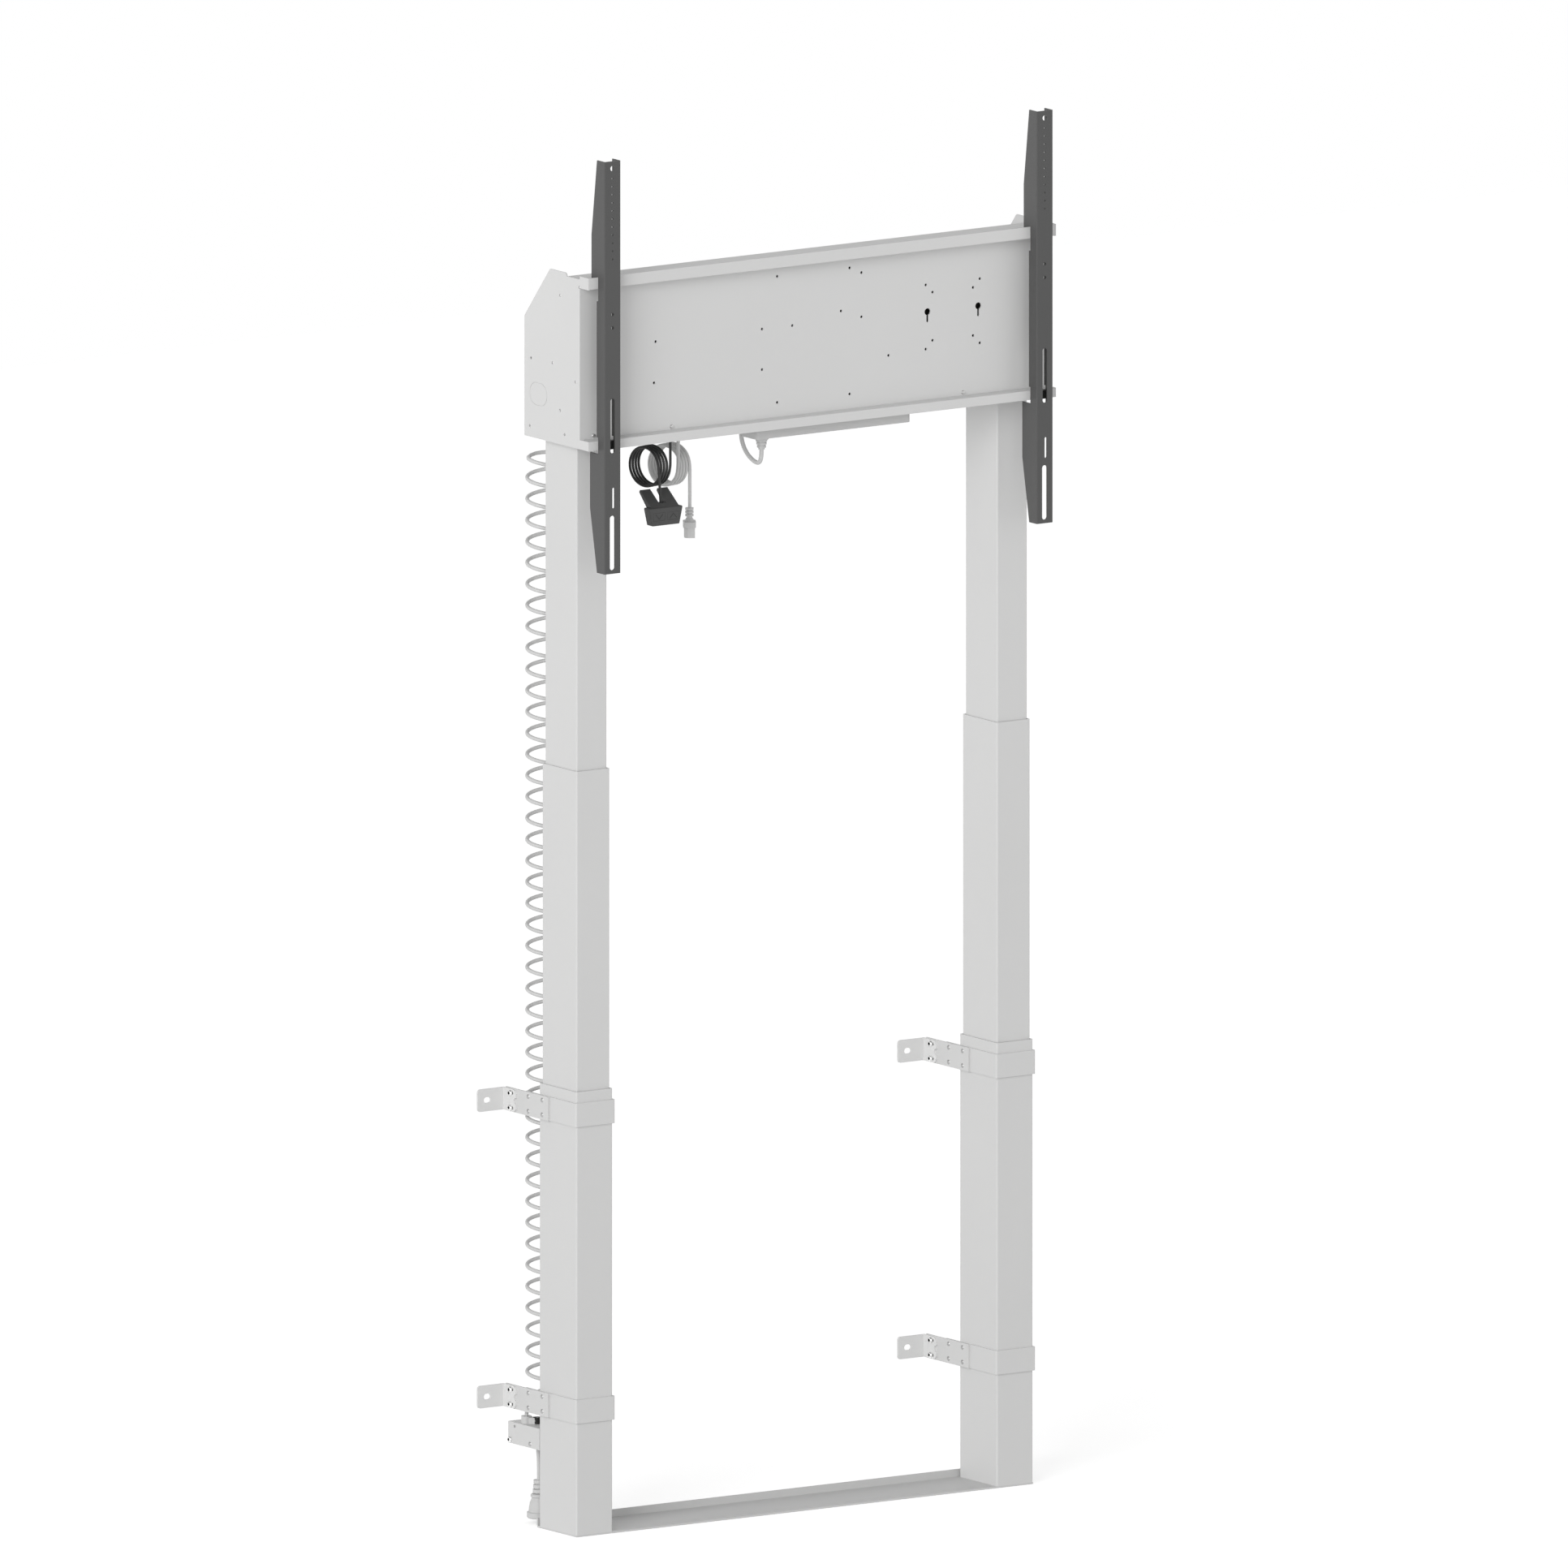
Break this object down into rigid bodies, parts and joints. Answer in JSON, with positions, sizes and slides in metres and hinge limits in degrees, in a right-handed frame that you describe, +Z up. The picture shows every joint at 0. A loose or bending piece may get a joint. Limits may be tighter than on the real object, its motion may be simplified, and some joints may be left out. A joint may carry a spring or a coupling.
{
  "type": "motorized display lift",
  "caption": "Floor-standing motorized display lift braced to a wall: telescopic columns, sheet-metal drive head with rails, hook-on arms, corded handset and spiral mains cord.",
  "frame": {"origin": "on the floor, midway between the columns and on their axes", "axes": "+X to the right seen from the front, +Y back to the wall, +Z up"},
  "size_m": [0.957, 0.257, 2.1516],
  "materials": {
    "white_coat": "satin powder coat",
    "zinc_steel": "zinc plated",
    "bright_steel": "ground steel",
    "glide_plastic": "moulded",
    "motor_black": "moulded",
    "black_coat": "satin powder coat",
    "black_plastic": "fine texture",
    "black_cord": "smooth sheath",
    "pale_cord": "smooth sheath",
    "pale_plastic": "moulded"
  },
  "bodies": {
    "base": {"base_plate": "white_coat", "outer_tube_left": "white_coat", "outer_tube_right": "white_coat", "lower_screws": "bright_steel", "outer_glides": "glide_plastic", "clamp_straps": "white_coat", "wall_arms": "white_coat", "wall_tabs": "white_coat", "bracket_screws": "zinc_steel", "cord_bracket": "white_coat", "cord_grip": "pale_plastic", "spiral_cord": "pale_cord", "mains_lead": "pale_cord", "mains_plug": "pale_plastic"},
    "carriage": {"inner_tube_left": "white_coat", "inner_tube_right": "white_coat", "inner_glides": "glide_plastic", "motor_bracket_left": "zinc_steel", "motor_bracket_right": "zinc_steel", "top_bearings": "bright_steel", "gear_motor_left": "motor_black", "gear_motor_right": "motor_black", "front_panel": "white_coat", "cheek_left": "white_coat", "cheek_right": "white_coat", "bottom_tray": "white_coat", "control_box": "motor_black", "power_strip": "pale_plastic", "strip_plug": "pale_plastic", "strip_lead": "pale_cord", "handset": "black_plastic", "handset_cord_drop": "black_cord", "handset_cord_coil": "black_cord", "handset_cord_tail": "black_cord", "display_lead_drop": "pale_cord", "display_lead_coil": "pale_cord", "display_lead_tail": "pale_cord", "display_connector": "pale_plastic", "cord_gland": "pale_plastic", "panel_bolts": "zinc_steel"},
    "mid_left": {"mid_tube_left": "white_coat", "mid_glides_left": "glide_plastic", "mid_cap_left": "glide_plastic", "push_tube_left": "bright_steel", "upper_nut_left": "glide_plastic", "lower_bearing_left": "bright_steel"},
    "drive_left": {"drive_tube_left": "bright_steel"},
    "spindle_left": {"spindle_left": "bright_steel"},
    "arm_left": {"arm_left": "black_coat"},
    "mid_right": {"mid_tube_right": "white_coat", "mid_glides_right": "glide_plastic", "mid_cap_right": "glide_plastic", "push_tube_right": "bright_steel", "upper_nut_right": "glide_plastic", "lower_bearing_right": "bright_steel"},
    "drive_right": {"drive_tube_right": "bright_steel"},
    "spindle_right": {"spindle_right": "bright_steel"},
    "arm_right": {"arm_right": "black_coat"},
    "button_down": {"button_down": "black_plastic"},
    "button_up": {"button_up": "black_plastic"}
  },
  "joints": [
    {"name": "lift", "type": "slide", "parent": "base", "child": "carriage", "axis": [0, 0, 1], "range_m": [-0.9, 0], "deforming": ["spiral_cord"]},
    {"name": "mid_left_slide", "type": "slide", "parent": "base", "child": "mid_left", "axis": [0, 0, 1], "range_m": [-0.45, 0]},
    {"name": "drive_left_spin", "type": "hinge", "parent": "mid_left", "child": "drive_left", "pos_m": [-0.389, 0, 1], "axis": [0, 0, 1], "range_deg": [-8100.5, 0]},
    {"name": "spindle_left_spin", "type": "hinge", "parent": "carriage", "child": "spindle_left", "pos_m": [-0.389, 0, 1], "axis": [0, 0, 1], "range_deg": [-8100.5, 0]},
    {"name": "mid_right_slide", "type": "slide", "parent": "base", "child": "mid_right", "axis": [0, 0, 1], "range_m": [-0.45, 0]},
    {"name": "drive_right_spin", "type": "hinge", "parent": "mid_right", "child": "drive_right", "pos_m": [0.389, 0, 1], "axis": [0, 0, 1], "range_deg": [-8100.5, 0]},
    {"name": "spindle_right_spin", "type": "hinge", "parent": "carriage", "child": "spindle_right", "pos_m": [0.389, 0, 1], "axis": [0, 0, 1], "range_deg": [-8100.5, 0]},
    {"name": "arm_left_slide", "type": "slide", "parent": "carriage", "child": "arm_left", "axis": [1, 0, 0], "range_m": [0, 0.2]},
    {"name": "arm_right_slide", "type": "slide", "parent": "carriage", "child": "arm_right", "axis": [-1, 0, 0], "range_m": [0, 0.2]},
    {"name": "button_down_press", "type": "slide", "parent": "carriage", "child": "button_down", "axis": [0, 1, 0], "range_m": [0, 0.0012], "stiffness_N_per_m": 800, "springref_m": -0.0006},
    {"name": "button_up_press", "type": "slide", "parent": "carriage", "child": "button_up", "axis": [0, 1, 0], "range_m": [0, 0.0012], "stiffness_N_per_m": 800, "springref_m": -0.0006}
  ],
  "couplings": [
    {"joint": "mid_left_slide", "follows": "lift", "ratio": 0.5},
    {"joint": "drive_left_spin", "follows": "lift", "rad_per_m": 157.08},
    {"joint": "spindle_left_spin", "follows": "lift", "rad_per_m": 157.08},
    {"joint": "mid_right_slide", "follows": "lift", "ratio": 0.5},
    {"joint": "drive_right_spin", "follows": "lift", "rad_per_m": 157.08},
    {"joint": "spindle_right_spin", "follows": "lift", "rad_per_m": 157.08}
  ]
}
